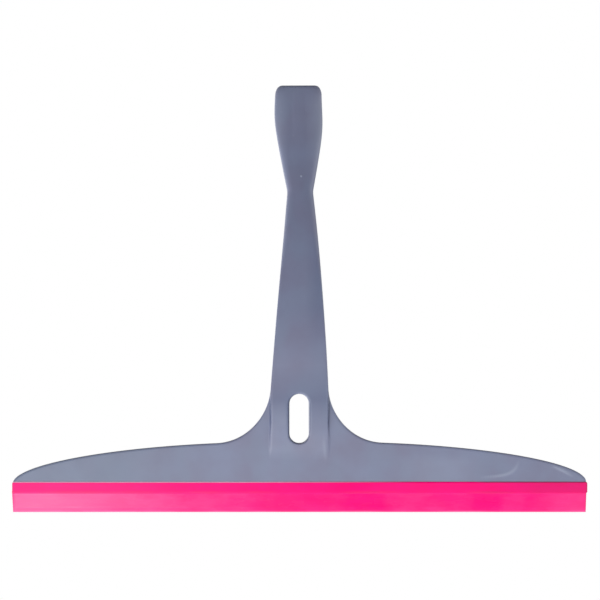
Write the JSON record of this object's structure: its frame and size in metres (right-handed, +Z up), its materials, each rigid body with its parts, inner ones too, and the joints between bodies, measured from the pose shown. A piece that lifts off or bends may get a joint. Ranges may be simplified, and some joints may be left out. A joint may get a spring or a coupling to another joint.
{
  "type": "window cleaning squeegee",
  "caption": "One-piece plastic head and leaning flared handle with a hanging slot, and a soft flexing wiping blade moulded along the head's lower edge.",
  "frame": {"origin": "the point at the top end of the hanging slot, on the head's middle plane, where a wall hook bears", "axes": "+X along the blade to the right as seen from the front, +Y from the front to the back, +Z up the handle, away from the wiping edge"},
  "size_m": [0.3004, 0.0386, 0.2245],
  "materials": {
    "body_plastic": "satin moulded polypropylene, blue grey",
    "blade_elastomer": "semi-gloss soft elastomer, bright pink"
  },
  "bodies": {
    "squeegee": {"head_and_handle": "body_plastic", "blade_band": "blade_elastomer"},
    "lip": {"blade_lip": "blade_elastomer"}
  },
  "joints": [
    {"name": "lip_flex", "type": "hinge", "parent": "squeegee", "child": "lip", "pos_m": [0, 0, -0.053], "axis": [1, 0, 0], "range_deg": [-40, 40], "stiffness_Nm_per_rad": 0.15}
  ]
}
